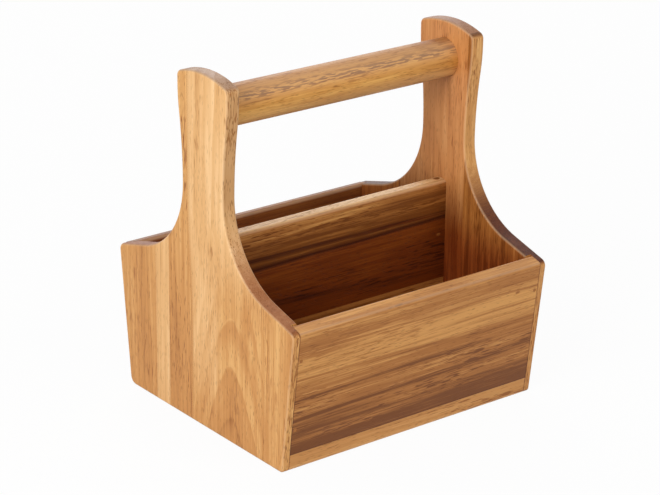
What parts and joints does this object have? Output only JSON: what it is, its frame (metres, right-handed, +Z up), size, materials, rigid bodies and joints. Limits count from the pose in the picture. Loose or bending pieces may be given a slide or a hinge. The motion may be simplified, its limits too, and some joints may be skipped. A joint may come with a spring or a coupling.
{
  "type": "utensil caddy",
  "caption": "Wooden table caddy with open bins either side of a tall divider, and end posts that carry a round bar handle.",
  "frame": {"origin": "on the ground, under the middle of the caddy", "axes": "+X runs along the handle from the left end panel to the right one, -Y is the front, +Z is up"},
  "size_m": [0.2, 0.184, 0.2305],
  "materials": {
    "end_wood": "oiled satin, vertical grain, edge-glued staves",
    "wall_wood": "oiled satin, grain along the length",
    "base_wood": "oiled satin",
    "divider_wood": "oiled satin, dark striped grain along the length",
    "handle_wood": "oiled satin, grain along the bar",
    "filler": "dried wood filler, matt",
    "brad_steel": "plain steel wire"
  },
  "bodies": {
    "root": {"left_end_panel": "end_wood", "right_end_panel": "end_wood", "front_board": "wall_wood", "back_board": "wall_wood", "base_board": "base_wood", "divider_board": "divider_wood", "handle_bar": "handle_wood", "front_brads": "brad_steel", "back_brads": "brad_steel", "base_brads": "brad_steel", "front_fillers": "filler", "back_fillers": "filler", "base_fillers": "filler"}
  },
  "joints": []
}
